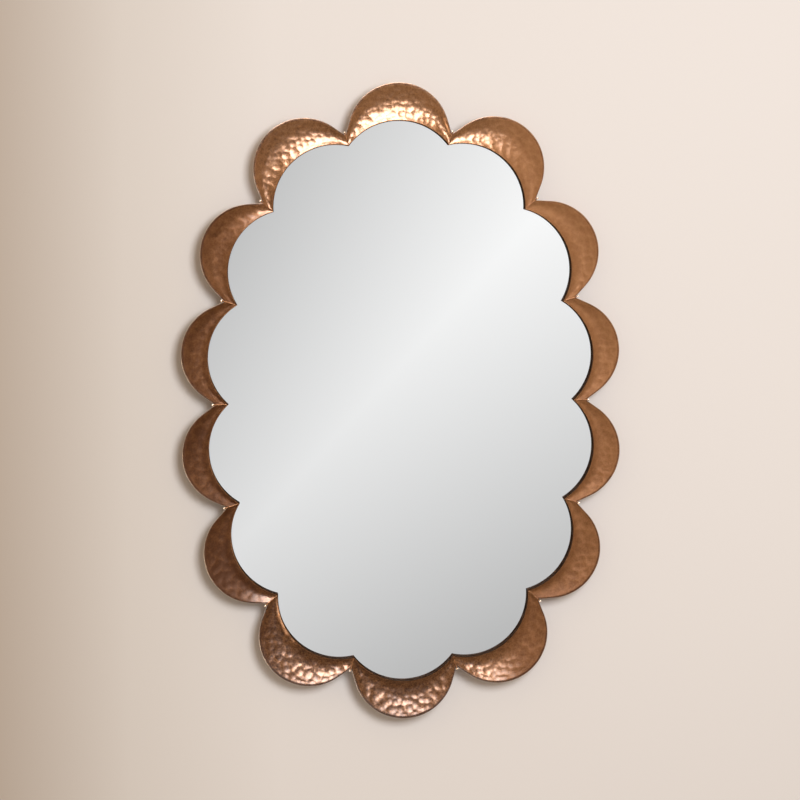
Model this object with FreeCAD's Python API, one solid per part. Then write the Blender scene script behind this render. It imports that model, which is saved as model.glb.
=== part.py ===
import FreeCAD, Part
import math
import os

# Portrait oval wall mirror: hammered copper petals round a scalloped looking glass.
# Millimetres. X runs to the right, Z up and Y into the wall, so the mirror faces -Y.
# The origin lies on the wall plane, behind the middle of the oval.
# Petals, strips and brackets are numbered clockwise from the top, seen from the front.

# Outline of the petals
overall_height = 914.0
overall_width = 629.0
petal_count = 14
petal_oval_power = 2.25
petal_lap = 0.6
notch_rise = 24.5

# Outline of the visible glass, whose scallops meet in cusps at the seams; the outermost
# cusps lie this far in from the overall width and height
cusp_side_inset = 67.0
cusp_top_inset = 90.0
glass_oval_power = 2.15
scallop_rise = 35.5

# Hammered petal sheet
sheet_thickness = 1.2
rim_width = 3.2
dish_depth = 5.0
seam_sag = 0.4
dish_fullness = 0.55
dish_low_share = 0.36
station_count = 11
braze_gap = 0.1

# Copper strips on edge round the glass
strip_thickness = 1.2
strip_proud = 0.5

# Brazed seams
seam_bead_radius = 0.9
notch_bead_radius = 1.8

# Stack from the wall forward
wall_gap = 6.0
board_thickness = 6.0
tape_thickness = 1.0
glass_thickness = 4.0
recess_depth = 13.0
board_clearance = 0.5
glass_clearance = 0.4

# Foam tape between the board and the glass
tape_width = 25.0
tape_length = 420.0
tape_spacing = 110.0
tape_strips = 3

# Angle brackets that carry the board
bracket_petals = (1, 3, 4, 6, 8, 10, 11, 13)
bracket_thickness = 1.5
bracket_width = 18.0
bracket_reach = 17.0
bracket_leg = 13.0
bracket_screw_inset = 9.0

# Screws
screw_radius = 1.75
screw_head_radius = 3.3
screw_head_height = 1.9
screw_clearance = 0.15
screw_bite = 4.6
screw_tip = 1.3
screw_tip_share = 0.25
screw_tip_room = 0.3
screw_slot_width = 0.8
screw_slot_length = 4.0
screw_slot_depth = 1.0

# Strap hangers with swinging D-rings
hanger_spacing = 300.0
hanger_height = 190.0
strap_width = 12.0
strap_thickness = 1.0
strap_length = 46.0
strap_screw_first = 25.0
strap_screw_pitch = 13.0
ring_wire_radius = 1.3
ring_running_gap = 0.1
ring_swing_gap = 0.3
ring_inner_width = 17.0
ring_corner_radius = 3.0
ring_leg = 3.0

# Rubber bumpers on the board, in from the crest of a scallop
bumper_petals = (2, 5, 9, 12)
bumper_names = ("upper_right", "lower_right", "lower_left", "upper_left")
bumper_radius = 8.0
bumper_face_radius = 7.0
bumper_inset = 24.0

# Distances forward of the wall that follow from the stack
board_front = wall_gap + board_thickness
glass_back = board_front + tape_thickness
glass_front = glass_back + glass_thickness
petal_front = glass_front + recess_depth
strip_front = petal_front + strip_proud

FRONT = FreeCAD.Vector(0, -1, 0)
ACROSS = FreeCAD.Vector(1, 0, 0)
UP = FreeCAD.Vector(0, 0, 1)
FULL_TURN = 2 * math.pi

halvings = 40
fit_rounds = 12


def heading(bearing):
    """Unit vector in the wall plane, its bearing measured clockwise from the top."""
    return FreeCAD.Vector(math.sin(bearing), 0, math.cos(bearing))


def bearing_of(vector):
    return math.atan2(vector.x, vector.z)


def turned_between(bearing, middle):
    """The bearing as a turn from the middle one, within half a turn either way."""
    return (bearing - middle + math.pi) % FULL_TURN - math.pi


def outward_normal(start, end):
    """Unit vector square to the chord of a clockwise path, away from the middle."""
    chord = (end - start).normalize()
    return FreeCAD.Vector(-chord.z, 0, chord.x)


def zero_of(rising, low, high):
    """Place between two limits where a rising function passes zero."""
    for _ in range(halvings):
        middle = (low + high) / 2
        if rising(middle) < 0:
            low = middle
        else:
            high = middle
    return low


def oval_ring(half_width, half_height, oval_power, phase):
    """Points at equal chords round an oval, the first a share of a chord past the top."""
    power = 2 / oval_power

    def oval(turn):
        side = math.copysign(abs(math.sin(turn)) ** power, math.sin(turn))
        rise = math.copysign(abs(math.cos(turn)) ** power, math.cos(turn))
        return FreeCAD.Vector(half_width * side, 0, half_height * rise)

    def turns(chord):
        reached = [zero_of(lambda turn: oval(turn).x - phase * chord, 0, math.pi / 2)]
        for _ in range(petal_count):
            here = reached[-1]
            place = oval(here)
            reached.append(zero_of(
                lambda turn: oval(turn).distanceToPoint(place) - chord, here, here + math.pi / 2))
        return reached

    def overshoot(chord):
        reached = turns(chord)
        return reached[-1] - reached[0] - FULL_TURN

    longest = 4 * (half_width + half_height) / petal_count
    chord = zero_of(overshoot, 0, longest)
    return [oval(turn) for turn in turns(chord)[:petal_count]]


def fitted_ring(width, height, oval_power, phase, inset):
    """Ring whose points, each with its inset round it, fill a width and a height."""
    half_width = width / 2
    half_height = height / 2
    for _ in range(fit_rounds):
        points = oval_ring(half_width, half_height, oval_power, phase)
        reach = inset(points[0].distanceToPoint(points[1]))
        half_width *= (width / 2 - reach) / max(point.x for point in points)
        half_height *= (height / 2 - reach) / max(point.z for point in points)
    return points


def lapping_radius(chord):
    return chord / 2 + petal_lap


def no_inset(chord):
    return 0


centres = fitted_ring(overall_width, overall_height, petal_oval_power, 0, lapping_radius)
petal_radius = lapping_radius(centres[0].distanceToPoint(centres[1]))
cusp_width = overall_width - 2 * cusp_side_inset
cusp_height = overall_height - 2 * cusp_top_inset
cusps = fitted_ring(cusp_width, cusp_height, glass_oval_power, 1 / 2, no_inset)


def neighbour(petal, step):
    return (petal + step) % petal_count


def petal_normal(petal):
    return outward_normal(centres[neighbour(petal, -1)], centres[neighbour(petal, 1)])


def scallop_normal(petal):
    return outward_normal(cusps[neighbour(petal, -1)], cusps[petal])


def notch(petal):
    """Bottom of the V between a petal and the next one clockwise."""
    start = centres[petal]
    end = centres[neighbour(petal, 1)]
    return (start + end) / 2 + outward_normal(start, end) * notch_rise


def mirror_arc(petal):
    """Edge of the visible glass beside one petal, from cusp to cusp."""
    start = cusps[neighbour(petal, -1)]
    end = cusps[petal]
    crest = (start + end) / 2 + scallop_normal(petal) * scallop_rise
    return Part.Arc(start, crest, end).toShape().Curve


mirror_arcs = [mirror_arc(petal) for petal in range(petal_count)]


def cusp(petal, grow):
    """Point where the arcs of a petal and the next one meet, both grown by a length."""
    first = mirror_arcs[petal]
    second = mirror_arcs[neighbour(petal, 1)]
    apart = first.Center.distanceToPoint(second.Center)
    reach = first.Radius + grow
    other_reach = second.Radius + grow
    along = (apart ** 2 + reach ** 2 - other_reach ** 2) / (2 * apart)
    height = math.sqrt(reach ** 2 - along ** 2)
    chord = (second.Center - first.Center) / apart
    return first.Center + chord * along + outward_normal(first.Center, second.Center) * height


def arc_crest(petal, grow):
    arc = mirror_arcs[petal]
    return arc.Center + scallop_normal(petal) * (arc.Radius + grow)


def scallop_edge(petal, grow):
    return Part.Arc(cusp(neighbour(petal, -1), grow), arc_crest(petal, grow), cusp(petal, grow)).toShape()


def plate(grow, back, thickness):
    """Flat plate with the outline of the glass, grown by a length, at a distance from the wall."""
    outline = Part.Wire([scallop_edge(petal, grow) for petal in range(petal_count)])
    outline.translate(FRONT * back)
    return Part.Face(outline).extrude(FRONT * thickness)


def cylinder(start, direction, radius, length):
    return Part.makeCylinder(radius, length, start, direction)


def outer_point(petal, share):
    """Point of a petal's outer edge: a straight foot, the round lobe and a straight foot."""
    centre = centres[petal]
    middle = bearing_of(petal_normal(petal))
    before = notch(neighbour(petal, -1))
    after = notch(petal)
    start_turn = turned_between(bearing_of(before - centre), middle)
    end_turn = turned_between(bearing_of(after - centre), middle)
    start_turn += math.acos(petal_radius / centre.distanceToPoint(before))
    end_turn -= math.acos(petal_radius / centre.distanceToPoint(after))
    first_touch = centre + heading(middle + start_turn) * petal_radius
    last_touch = centre + heading(middle + end_turn) * petal_radius
    first_foot = before.distanceToPoint(first_touch)
    last_foot = after.distanceToPoint(last_touch)
    lobe = petal_radius * (end_turn - start_turn)
    way = share * (first_foot + lobe + last_foot)
    if way < first_foot:
        return before + (first_touch - before) * (way / first_foot)
    if way > first_foot + lobe:
        return last_touch + (after - last_touch) * ((way - first_foot - lobe) / last_foot)
    return centre + heading(middle + start_turn + (way - first_foot) / petal_radius) * petal_radius


def inner_point(petal, share, grow):
    """Point of a petal's inner edge, along the grown arc of the glass."""
    arc = mirror_arcs[petal]
    middle = bearing_of(petal_normal(petal))
    start_turn = turned_between(bearing_of(cusp(neighbour(petal, -1), grow) - arc.Center), middle)
    end_turn = turned_between(bearing_of(cusp(petal, grow) - arc.Center), middle)
    turn = start_turn + (end_turn - start_turn) * share
    return arc.Center + heading(middle + turn) * (arc.Radius + grow)


def bowl_depth(off_low, reach, sag, thickness):
    """Depth of an arc that sags from a rim at this reach; the back face adds the thickness."""
    bend = (reach ** 2 + sag ** 2) / (2 * sag)
    return math.sqrt((bend + thickness) ** 2 - off_low ** 2) - (bend - sag)


def petal_section(petal, share):
    """Dished section of the sheet, lowest near the strip, out to the flat rim."""
    inner = inner_point(petal, share, strip_thickness + braze_gap)
    outer = outer_point(petal, share)
    width = inner.distanceToPoint(outer)
    along = (outer - inner) / width
    fullness = math.sin(math.pi * share) ** dish_fullness if 0 < share < 1 else 0
    sag = seam_sag + (dish_depth - seam_sag) * fullness
    chord = width - rim_width
    low = chord * dish_low_share
    reach = chord - low
    rim_back = petal_front - sheet_thickness
    back_end = low + math.sqrt(reach ** 2 + 2 * sheet_thickness * sag)

    def at(across, forward):
        return inner + along * across + FRONT * forward

    def dished(across, thickness):
        off_low = across - low
        depth = bowl_depth(off_low, reach if off_low > 0 else low, sag, thickness)
        return at(across, petal_front - depth)

    def arc(start, end, thickness):
        middle = dished((start + end) / 2, thickness)
        return Part.Arc(dished(start, thickness), middle, dished(end, thickness)).toShape()

    return Part.Wire([
        arc(0, low, 0),
        arc(low, chord, 0),
        Part.makeLine(dished(chord, 0), at(width, petal_front)),
        Part.makeLine(at(width, petal_front), at(width, rim_back)),
        Part.makeLine(at(width, rim_back), dished(back_end, sheet_thickness)),
        arc(back_end, low, sheet_thickness),
        arc(low, 0, sheet_thickness),
        Part.makeLine(dished(0, sheet_thickness), dished(0, 0)),
    ])


def petal_solid(petal):
    shares = [station / (station_count - 1) for station in range(station_count)]
    return Part.makeLoft([petal_section(petal, share) for share in shares], True, False)


def strip_solid(petal):
    """One bent strip, mitred at the seams, from the brackets to the front edge."""
    before = neighbour(petal, -1)
    outline = Part.Wire([
        scallop_edge(petal, 0),
        Part.makeLine(cusp(petal, 0), cusp(petal, strip_thickness)),
        scallop_edge(petal, strip_thickness),
        Part.makeLine(cusp(before, strip_thickness), cusp(before, 0)),
    ])
    outline.translate(FRONT * wall_gap)
    return Part.Face(outline).extrude(FRONT * (strip_front - wall_gap))


def seam_solid(petal):
    """Half-round bead of braze along a seam, with a drop in the outer notch."""
    after = neighbour(petal, 1)
    step = 1 / station_count
    inner = cusp(petal, strip_thickness + braze_gap)
    along = (notch(petal) - inner).normalize()
    side = along.cross(FRONT)
    start = inner + along * seam_bead_radius + FRONT * petal_front
    top = start + FRONT * seam_bead_radius
    left = start - side * seam_bead_radius
    right = start + side * seam_bead_radius
    feet = (outer_point(petal, 1) - outer_point(petal, 1 - step),
            outer_point(after, 0) - outer_point(after, step))
    stand = max((notch_bead_radius + braze_gap) / math.sin(along.getAngle(foot)) for foot in feet)
    drop = notch(petal) + along * stand
    length = drop.distanceToPoint(inner) - seam_bead_radius
    outline = Part.Wire([Part.Arc(left, top, right).toShape(), Part.makeLine(right, left)])
    bead = Part.Face(outline).extrude(along * length)
    middle = drop + FRONT * (petal_front - sheet_thickness / 2)
    return bead.fuse(Part.makeSphere(notch_bead_radius, middle)).removeSplitter()


def bracket_solid(petal):
    """Angle bracket: a flange under the board and a leg brazed outside the strip."""
    outward = scallop_normal(petal)
    side = outward.cross(FRONT)
    corner = arc_crest(petal, 0) - side * (bracket_width / 2)
    back = wall_gap - bracket_thickness
    inside = strip_thickness + braze_gap
    outside = inside + bracket_thickness
    profile = [(-bracket_reach, back), (outside, back), (outside, wall_gap + bracket_leg),
               (inside, wall_gap + bracket_leg), (inside, wall_gap), (-bracket_reach, wall_gap)]
    points = [corner + outward * across + FRONT * forward for across, forward in profile]
    angle = Part.Face(Part.makePolygon(points + points[:1])).extrude(side * bracket_width)
    hole_start = bracket_screw_place(petal) + FRONT * (back - screw_clearance)
    hole_length = bracket_thickness + 2 * screw_clearance
    return angle.cut(cylinder(hole_start, FRONT, screw_radius + screw_clearance, hole_length))


def bracket_screw_place(petal):
    return arc_crest(petal, -bracket_screw_inset)


def screw_solid(place, seat):
    """Pan-head wood screw, its head seated at a distance from the wall, its tip forward."""
    foot = place + FRONT * seat
    head = cylinder(foot, -FRONT, screw_head_radius, screw_head_height)
    head = head.makeFillet(screw_head_height / 2, [face_rim(head, seat - screw_head_height)])
    bite = wall_gap + screw_bite - seat
    shank = cylinder(foot, FRONT, screw_radius, bite - screw_tip)
    tip_start = foot + FRONT * (bite - screw_tip)
    tip = Part.makeCone(screw_radius, screw_radius * screw_tip_share, screw_tip, tip_start, FRONT)
    screw = head.fuse([shank, tip]).removeSplitter()
    slot_floor = foot - FRONT * (screw_head_height - screw_slot_depth)
    long_side = screw_slot_length
    short_side = screw_slot_width
    for slot_side, slot_up in ((long_side, short_side), (short_side, long_side)):
        corner = slot_floor - ACROSS * (slot_side / 2) - UP * (slot_up / 2)
        screw = screw.cut(Part.makeBox(slot_side, screw_slot_depth + screw_clearance, slot_up, corner))
    return screw


def face_rim(solid, forward):
    """Round edge of an upright cylinder that lies at a distance from the wall."""
    round_edges = [edge for edge in solid.Edges if len(edge.Vertexes) == 1]
    return min(round_edges, key=lambda edge: abs(edge.BoundBox.YMin + forward))


def strap_screw_places(hand):
    """The two screws of one hanger strap; hand is -1 on the left and 1 on the right."""
    bar = hanger_bar_place(hand)
    lengths = (strap_screw_first, strap_screw_first + strap_screw_pitch)
    return [FreeCAD.Vector(bar.x, 0, bar.z - length) for length in lengths]


def hanger_bar_place(hand):
    """Middle of the bar that a D-ring swings on."""
    stand = strap_thickness + ring_swing_gap + ring_wire_radius
    across = hand * hanger_spacing / 2
    return FreeCAD.Vector(across, 0, hanger_height) + FRONT * (wall_gap - stand)


def strap_solid(hand):
    bar = hanger_bar_place(hand)
    loop_radius = ring_wire_radius + ring_running_gap + strap_thickness
    side = ACROSS * (strap_width / 2)
    back = FRONT * (wall_gap - strap_thickness)
    top = FreeCAD.Vector(bar.x, 0, bar.z) + back
    turn = top - UP * (strap_length - strap_width / 2)
    foot = top - UP * strap_length
    outline = Part.Wire([
        Part.makeLine(top + side, turn + side),
        Part.Arc(turn + side, foot, turn - side).toShape(),
        Part.makeLine(turn - side, top - side),
        Part.makeLine(top - side, top + side),
    ])
    strap = Part.Face(outline).extrude(FRONT * strap_thickness)
    strap = strap.fuse(cylinder(bar - side, ACROSS, loop_radius, strap_width))
    strap = strap.cut(cylinder(bar - side, ACROSS, ring_wire_radius + ring_running_gap, strap_width))
    for place in strap_screw_places(hand):
        start = place + back - FRONT * screw_clearance
        hole_length = strap_thickness + 2 * screw_clearance
        strap = strap.cut(cylinder(start, FRONT, screw_radius + screw_clearance, hole_length))
    return strap.removeSplitter()


def ring_solid(hand):
    """D-ring of round wire, hanging down from its bar over the strap."""
    bar = hanger_bar_place(hand)
    half = ring_inner_width / 2 + ring_wire_radius
    straight = half - ring_corner_radius
    leg_end = ring_corner_radius + ring_leg
    bend = ring_corner_radius * math.sqrt(1 / 2)

    def at(across, down):
        return bar + ACROSS * across - UP * down

    corner_across = straight + bend
    corner_down = ring_corner_radius - bend
    path = Part.Wire([
        Part.makeLine(at(-straight, 0), at(straight, 0)),
        Part.Arc(at(straight, 0), at(corner_across, corner_down), at(half, ring_corner_radius)).toShape(),
        Part.makeLine(at(half, ring_corner_radius), at(half, leg_end)),
        Part.Arc(at(half, leg_end), at(0, leg_end + half), at(-half, leg_end)).toShape(),
        Part.makeLine(at(-half, leg_end), at(-half, ring_corner_radius)),
        Part.Arc(at(-half, ring_corner_radius), at(-corner_across, corner_down), at(-straight, 0)).toShape(),
    ])
    section = Part.Wire(Part.makeCircle(ring_wire_radius, at(-straight, 0), ACROSS))
    return path.makePipeShell([section], True, False)


def bumper_solid(petal):
    place = arc_crest(petal, -bumper_inset)
    return Part.makeCone(bumper_face_radius, bumper_radius, wall_gap, place, FRONT)


def board_solid():
    """Backing board with blind pilot holes for the bracket and strap screws."""
    board = plate(-board_clearance, wall_gap, board_thickness)
    places = [bracket_screw_place(petal) for petal in bracket_petals]
    places += strap_screw_places(-1) + strap_screw_places(1)
    for place in places:
        start = place + FRONT * (wall_gap - screw_clearance)
        depth = screw_bite + screw_tip_room + screw_clearance
        board = board.cut(cylinder(start, FRONT, screw_radius + screw_clearance, depth))
    return board


def tape_solid(row):
    """One upright strip of foam tape; rows count from the left."""
    across = (row - (tape_strips - 1) / 2) * tape_spacing - tape_width / 2
    corner = FreeCAD.Vector(across, -glass_back, -tape_length / 2)
    return Part.makeBox(tape_width, tape_thickness, tape_length, corner)


def save(name, shape):
    shape.exportStep(os.path.join("parts", name + ".step"))


def save_group(name, solids):
    save(name, Part.makeCompound(solids))


os.makedirs("parts", exist_ok=True)

for petal in range(petal_count):
    number = "%02d" % (petal + 1)
    save("petal_" + number, petal_solid(petal))
    save("inner_strip_" + number, strip_solid(petal))
save_group("seam_braze", [seam_solid(petal) for petal in range(petal_count)])

save("mirror_glass", plate(-glass_clearance, glass_back, glass_thickness))
save("backing_board", board_solid())
save_group("foam_tape", [tape_solid(row) for row in range(tape_strips)])

for count, petal in enumerate(bracket_petals):
    save("board_bracket_%02d" % (count + 1), bracket_solid(petal))
bracket_back = wall_gap - bracket_thickness
save_group("board_screws",
           [screw_solid(bracket_screw_place(petal), bracket_back) for petal in bracket_petals])

strap_back = wall_gap - strap_thickness
for hand, side_name in ((-1, "left"), (1, "right")):
    save(side_name + "_hanger_strap", strap_solid(hand))
    save(side_name + "_hanger_ring", ring_solid(hand))
    save_group(side_name + "_hanger_screws",
               [screw_solid(place, strap_back) for place in strap_screw_places(hand)])

for petal, bumper_name in zip(bumper_petals, bumper_names):
    save(bumper_name + "_bumper", bumper_solid(petal))
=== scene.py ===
import cmath
import math

import bmesh
import bpy
import numpy as np
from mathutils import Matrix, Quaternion, Vector, noise


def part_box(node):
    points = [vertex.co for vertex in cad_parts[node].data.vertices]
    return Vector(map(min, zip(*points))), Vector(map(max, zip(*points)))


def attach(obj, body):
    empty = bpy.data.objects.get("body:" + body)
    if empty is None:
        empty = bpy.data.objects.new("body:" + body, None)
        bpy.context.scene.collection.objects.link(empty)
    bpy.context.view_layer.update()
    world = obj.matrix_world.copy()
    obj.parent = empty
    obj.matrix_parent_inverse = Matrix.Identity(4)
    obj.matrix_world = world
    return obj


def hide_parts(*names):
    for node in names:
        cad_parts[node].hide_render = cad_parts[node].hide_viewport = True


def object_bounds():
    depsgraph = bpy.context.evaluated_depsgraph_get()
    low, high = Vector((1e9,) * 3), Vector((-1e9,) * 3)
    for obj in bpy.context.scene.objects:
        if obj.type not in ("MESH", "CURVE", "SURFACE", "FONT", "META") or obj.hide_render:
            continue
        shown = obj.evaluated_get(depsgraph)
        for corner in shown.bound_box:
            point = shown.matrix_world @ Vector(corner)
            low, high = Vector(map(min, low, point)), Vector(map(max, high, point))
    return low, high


# Looks of the wave mirror: fourteen hammered copper petals round a scalloped looking glass.
# Metres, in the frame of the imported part: X to the right, Z up, and the mirror faces -Y.
# Places in the wall plane are complex numbers, X + Z * 1j, and petals count clockwise from the top.

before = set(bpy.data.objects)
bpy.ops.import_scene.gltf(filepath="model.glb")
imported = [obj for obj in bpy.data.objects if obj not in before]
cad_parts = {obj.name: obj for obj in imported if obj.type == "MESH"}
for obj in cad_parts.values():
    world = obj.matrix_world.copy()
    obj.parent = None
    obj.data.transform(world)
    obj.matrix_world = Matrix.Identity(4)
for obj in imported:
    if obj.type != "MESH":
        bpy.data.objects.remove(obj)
cad_low, cad_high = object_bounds()

# Outline, as in the part's source
overall_width = cad_high.x - cad_low.x
overall_height = cad_high.z - cad_low.z
petal_count = 14
petal_oval_power = 2.25
petal_lap = 0.0006
notch_rise = 0.0245
cusp_side_inset = 0.067
cusp_top_inset = 0.090
glass_oval_power = 2.15
scallop_rise = 0.0355

# Sheet, strips and braze, as in the part's source
sheet_thickness = 0.0012
rim_width = 0.0032
dish_depth = 0.0050
seam_sag = 0.0004
dish_fullness = 0.55
dish_low_share = 0.36
strip_thickness = 0.0012
braze_gap = 0.0001
seam_bead_radius = 0.0009
notch_bead_radius = 0.0018

# Distances forward of the wall
petal_front = -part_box("petal_01")[0].y
strip_front = -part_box("inner_strip_01")[0].y
strip_back = -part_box("inner_strip_01")[1].y
glass_front = -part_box("mirror_glass")[0].y
glass_back = -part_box("mirror_glass")[1].y

# Hammer marks, which grow by a share from the top petal to the bottom one and fade towards edges
mark_pitch = 0.0087
mark_depth = 0.00062
low_mark_growth = 0.17
mark_tightness = 1.5
mark_blend = 0.4
mark_scatter = 0.9
mark_fade = 0.006
rim_mark_share = 0.15
inner_mark_share = 0.4
seam_mark_share = 0.2
side_mark_loss = 0.2

# Lacquered middle of the mirror, between its matt sides
polish_middle = -0.03
polish_start = 0.14
polish_end = 0.21

# Patina of the sheet: what browns it, by how much, in the lacquered middle and at the matt sides
cloud_patina = (0.9, 0.6)
mottle_patina = (1.2, 0.35)
speck_patina = (1.8, 0.6)
hollow_patina = 0.15
rim_patina = 0.5
rim_patina_ends = (0.7 * rim_width, 1.2 * rim_width)
matt_patina = 0.25
middle_patina = 0.5
# Painted shade: the sheet darkens away from the lamp, towards the lower left, by this much along
# this direction.
lamp_side = (0.82, 0.57)
away_from_lamp_painted_shade = 1.3
patina_and_shade_range = 1.3

# Shine of the sheet, in the same pairs; the right side is a little duller
sheet_metallic = (0.45, 0.2)
sheet_roughness = (0.21, 0.45)
mottle_roughness = 0.14
hollow_roughness = 0.03
right_side = (0.1, 0.2)
right_metallic_loss = 0.12
speck_relief = 0.4

# Wear of the sheet: bright at its outermost edge, less so where a seam's braze was rubbed
seam_wear_ends = (0.0004, 0.0014)
seam_wear = 0.3
least_wear = 0.45
mottle_wear = 0.6
worn_metallic = 0.5
worn_smoothness = 0.6

# Unevenness of the sheet; its low line shifts out on the upper petals and in on the lower ones
rim_ease = 0.7
top_low_shift = 0.16
bottom_low_shift = -0.06
low_shift_reach = 0.35
buckle_size = 0.045
buckle_depth = 0.0005
edge_round = 0.0008
edge_wander = 0.0005
edge_wander_size = 0.02
edge_wander_from = 0.5

# Points along and across the sheet's mesh, and its least sharp angle in degrees
sheet_stations = 150
dish_rows = 66
rim_rows = 9
sheet_sharp_angle = 40

# Strips' front edges
strip_stations = 96
strip_round = 0.00035
strip_round_steps = 4
strip_wander = 0.00025
strip_wander_size = 0.012

# Finish of the strips: depths behind their front edge between which it changes, and shares of
# their thickness
# The near-black down in the recess and on the strip's side facing the glass is painted shade.
strip_rubbed_depths = (0.0011, 0.0003)
strip_shade_depths = (0.003, 0.0004)
strip_shade_share = 0.3
strip_rubbed_share = 0.8

# Braze: its uneven beads and drops, and the heights between which it is rubbed bright
bead_step = 0.0006
bead_sides = 12
bead_unevenness = 0.45
bead_lump_size = 0.0025
drop_detail = 4
drop_unevenness = 0.0004
braze_sharp_angle = 60
braze_rubbed_ends = (petal_front - 0.0002, petal_front + 0.9 * seam_bead_radius)

# Glass: distances from a face between which its finish gives way to the edge's
glass_face_band = (0.0001, 0.0003)

# Brackets: distances forward of the wall between which the flux stain of the brazed leg sets in
bracket_flux_ends = (strip_back + 0.001, strip_back + 0.008)

# Wall behind the mirror; rays that start nearer than the sight gap pass through it
wall_half = 6.0
wall_clearance = 0.0002
wall_sight_gap = 0.12
# The wall's tones darken towards the left: painted shade of light falling off away from the lamp.
wall_shade_width = 1.2
wall_left_painted_shade = (0.58, 0.507, 0.445)
wall_near_painted_shade = (0.81, 0.772, 0.745)
wall_middle_tone = (0.90, 0.874, 0.87)
wall_right_tone = (0.88, 0.858, 0.862)

# Soft lamp at the upper right
key_place = Vector((0.85, -3.0, 0.9))
key_size = (1.15, 1.15)
key_power = 58.0

# Tall panel in front and above, that only reflections show: its edges as turns and rises seen
# from the mirror, and how much dimmer it is below
panel_level = 17.0
panel_dim = 0.15
panel_brightens = (math.radians(14.0), math.radians(32.0))
panel_bottom = math.radians(2.0)
panel_full = math.radians(8.0)
panel_top = math.radians(54.0)
panel_left = math.radians(18.0)
panel_left_lean = 1.4
panel_right = math.radians(6.0)
panel_right_lean = 0.35
panel_edge = math.radians(6.0)

# Window low on the left, that only reflections show
window_level = 8.0
window_turn = math.radians(-95.0)
window_rise = math.radians(-25.0)
window_half_turn = math.radians(20.0)
window_half_rise = math.radians(15.0)
window_softness = 1.4

# Room: levels and tones. A direction's Z of ceiling_from shows all ceiling, and its negative all
# floor; a Y of behind_from shows all of what is behind.
floor_level = 0.28
ceiling_level = 0.52
ceiling_from = 0.6
behind_level = 0.55
behind_from = 0.4
room_tone = (1.0, 0.74, 0.48)
panel_tone = (1.0, 0.98, 0.98)
backdrop_tone = (0.86, 0.82, 0.77)

# Sheen that the glass reflects: the lesser of two slanting levels, each with its slopes to the
# right and up and the place where it is reached. It fills what lies straight ahead.
sheen_left = (0.683, (1.04, -0.52), (-0.1437, 0.2155))
sheen_right = (0.832, (-0.418, 0.838), (0.0718, -0.0144))
sheen_least = 0.40
sheen_ends = (0.85, 0.95)
least_ahead = 0.001

# Photograph's view
photo_width = 800
metres_per_pixel = 0.0014323
camera_distance = 5.0
camera_rise = math.radians(4.0)
camera_turn = math.radians(-3.5)
camera_roll = math.radians(0.55)
camera_aim = Vector((-0.0019, -petal_front, 0.0034))
sensor_width = 36.0

halvings = 40
fit_rounds = 12


def signed_power(value, power):
    return math.copysign(abs(value) ** power, value)


def zero_of(rising, low, high):
    """Place between two limits where a rising function passes zero."""
    for _ in range(halvings):
        middle = (low + high) / 2
        if rising(middle) < 0:
            low = middle
        else:
            high = middle
    return low


def oval_ring(half_width, half_height, oval_power, phase):
    """Points at equal chords round an oval, the first a share of a chord past the top."""
    def oval(turn):
        side = signed_power(math.sin(turn), 2 / oval_power)
        rise = signed_power(math.cos(turn), 2 / oval_power)
        return complex(half_width * side, half_height * rise)

    def turns(chord):
        reached = [zero_of(lambda turn: oval(turn).real - phase * chord, 0, math.pi / 2)]
        for _ in range(petal_count):
            here = reached[-1]
            place = oval(here)
            reached.append(zero_of(lambda turn: abs(oval(turn) - place) - chord,
                                   here, here + math.pi / 2))
        return reached

    def overshoot(chord):
        reached = turns(chord)
        return reached[-1] - reached[0] - 2 * math.pi

    chord = zero_of(overshoot, 0, 4 * (half_width + half_height) / petal_count)
    return [oval(turn) for turn in turns(chord)[:petal_count]]


def fitted_ring(width, height, oval_power, phase, inset):
    """Ring whose points, each with its inset round it, fill a width and a height."""
    half_width = width / 2
    half_height = height / 2
    for _ in range(fit_rounds):
        points = oval_ring(half_width, half_height, oval_power, phase)
        reach = inset(abs(points[0] - points[1]))
        half_width *= (width / 2 - reach) / max(point.real for point in points)
        half_height *= (height / 2 - reach) / max(point.imag for point in points)
    return points


def lapping_radius(chord):
    return chord / 2 + petal_lap


def no_inset(chord):
    return 0


centres = fitted_ring(overall_width, overall_height, petal_oval_power, 0, lapping_radius)
petal_radius = lapping_radius(abs(centres[0] - centres[1]))
cusps = fitted_ring(overall_width - 2 * cusp_side_inset, overall_height - 2 * cusp_top_inset,
                    glass_oval_power, 1 / 2, no_inset)


def neighbour(petal, step):
    return (petal + step) % petal_count


def unit(value):
    return value / abs(value)


def outward(start, end):
    """Unit vector square to the chord of a clockwise path, away from the middle."""
    return unit(end - start) * 1j


def notch(petal):
    """Bottom of the V between a petal and the next one clockwise."""
    start = centres[petal]
    end = centres[neighbour(petal, 1)]
    return (start + end) / 2 + outward(start, end) * notch_rise


def scallop_normal(petal):
    return outward(cusps[neighbour(petal, -1)], cusps[petal])


def scallop_circle(petal):
    """Centre and radius of the arc that edges the visible glass beside one petal."""
    start = cusps[neighbour(petal, -1)]
    end = cusps[petal]
    half = abs(end - start) / 2
    radius = (half ** 2 + scallop_rise ** 2) / (2 * scallop_rise)
    return (start + end) / 2 + scallop_normal(petal) * (scallop_rise - radius), radius


def cusp(petal, grow):
    """Point where the arcs of a petal and the next one meet, both grown by a length."""
    centre, radius = scallop_circle(petal)
    other_centre, other_radius = scallop_circle(neighbour(petal, 1))
    apart = abs(other_centre - centre)
    reach = radius + grow
    along = (apart ** 2 + reach ** 2 - (other_radius + grow) ** 2) / (2 * apart)
    height = math.sqrt(reach ** 2 - along ** 2)
    return centre + unit(other_centre - centre) * complex(along, height)


def inner_point(petal, share, grow):
    """Point of a petal's inner edge, along the grown arc of the glass."""
    centre, radius = scallop_circle(petal)
    start = cusp(neighbour(petal, -1), grow) - centre
    sweep = cmath.phase((cusp(petal, grow) - centre) / start)
    return centre + start * cmath.exp(1j * sweep * share)


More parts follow.
